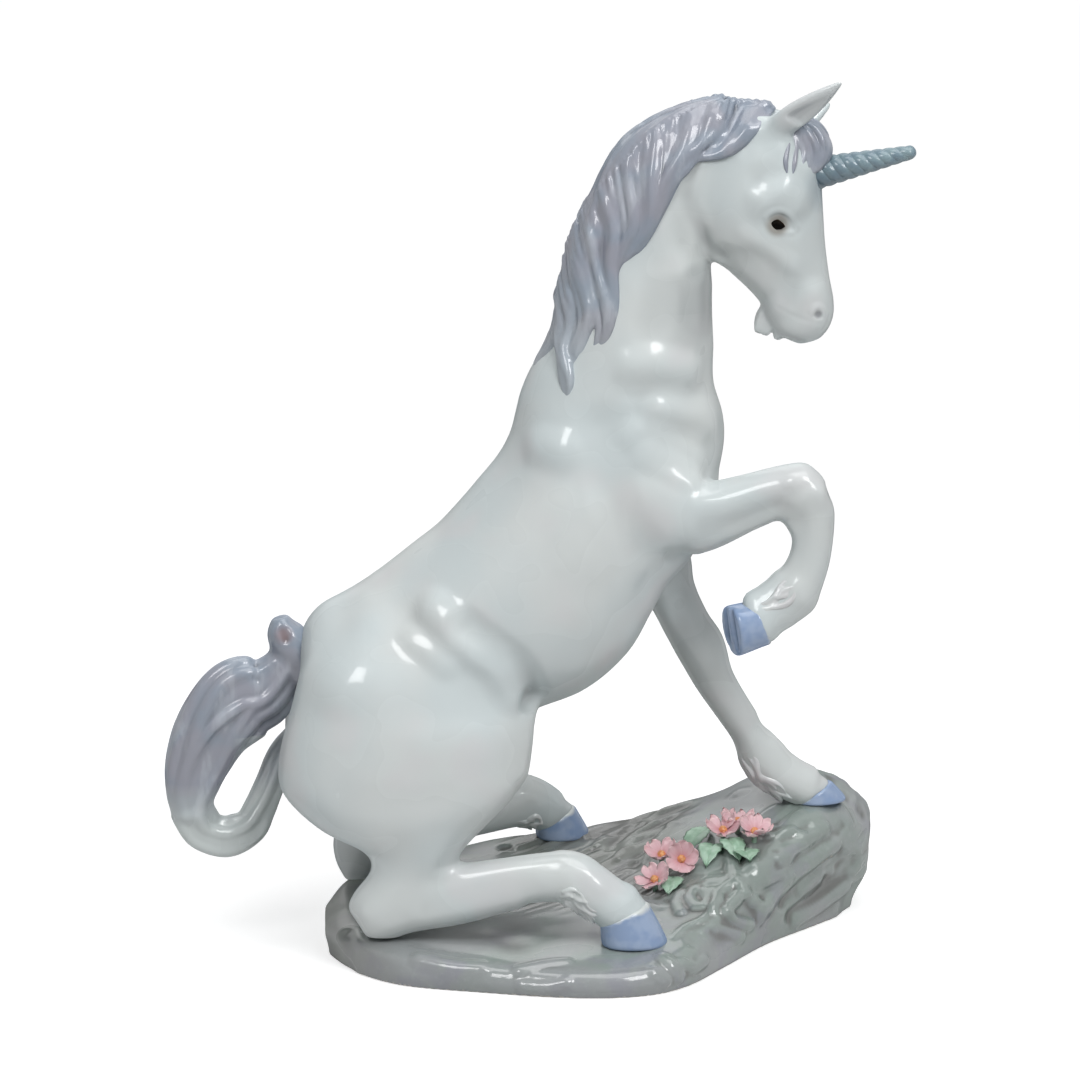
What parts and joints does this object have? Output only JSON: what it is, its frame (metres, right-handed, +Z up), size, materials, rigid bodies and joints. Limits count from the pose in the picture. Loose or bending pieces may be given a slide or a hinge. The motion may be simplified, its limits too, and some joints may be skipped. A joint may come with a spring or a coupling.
{
  "type": "unicorn figurine",
  "caption": "Seated porcelain unicorn on a rock base, near foreleg raised, with a mane, looped tail, spiral horn and small applied flowers.",
  "frame": {"origin": "on the flat underside of the rock base, under the middle of the figure, where the base rests", "axes": "+X towards the horn and the raised foreleg, +Z up, -Y towards the side with the mane's locks (the pictured side)"},
  "size_m": [0.212, 0.1274, 0.2643],
  "materials": {
    "body_glaze": "pale cool white glaze, high gloss, faint green and lilac tints in the shade",
    "mane_glaze": "lilac grey glaze, high gloss, pearly along its ridges",
    "horn_glaze": "blue grey glaze, high gloss, darker in its flutes",
    "hoof_glaze": "periwinkle blue glaze, high gloss",
    "base_glaze": "warm grey glaze with greenish and brownish tints, high gloss",
    "petal_glaze": "pink glaze, paler at the petal edges",
    "pollen_glaze": "ochre yellow glaze",
    "leaf_glaze": "soft green glaze",
    "eye_glaze": "near-black painted eye under gloss glaze"
  },
  "bodies": {
    "root": {"base_rock": "base_glaze", "beard": "body_glaze", "far_ear": "body_glaze", "far_fore_feather": "body_glaze", "far_fore_hoof": "hoof_glaze", "far_foreleg": "body_glaze", "far_haunch": "body_glaze", "far_hind_feather": "body_glaze", "far_hind_hoof": "hoof_glaze", "far_shank": "body_glaze", "flower_1": "petal_glaze", "flower_2": "petal_glaze", "flower_3": "petal_glaze", "flower_4": "petal_glaze", "flower_5": "petal_glaze", "flower_6": "petal_glaze", "flower_centres": "pollen_glaze", "flower_stems": "leaf_glaze", "forelock": "mane_glaze", "head": "body_glaze", "horn": "horn_glaze", "leaf_1": "leaf_glaze", "leaf_2": "leaf_glaze", "leaf_3": "leaf_glaze", "leaf_4": "leaf_glaze", "leaf_5": "leaf_glaze", "mane_crest": "mane_glaze", "mane_lock_1": "mane_glaze", "mane_lock_10": "mane_glaze", "mane_lock_2": "mane_glaze", "mane_lock_3": "mane_glaze", "mane_lock_4": "mane_glaze", "mane_lock_5": "mane_glaze", "mane_lock_6": "mane_glaze", "mane_lock_7": "mane_glaze", "mane_lock_8": "mane_glaze", "mane_lock_9": "mane_glaze", "near_cannon": "body_glaze", "near_ear": "body_glaze", "near_fore_feather": "body_glaze", "near_fore_hoof": "hoof_glaze", "near_forearm": "body_glaze", "near_haunch": "body_glaze", "near_hind_feather": "body_glaze", "near_hind_hoof": "hoof_glaze", "near_shank": "body_glaze", "neck": "body_glaze", "tail_plume": "mane_glaze", "tail_root": "mane_glaze", "tail_strand": "mane_glaze", "trunk": "body_glaze", "vine_far": "base_glaze", "vine_near": "base_glaze"}
  },
  "joints": []
}
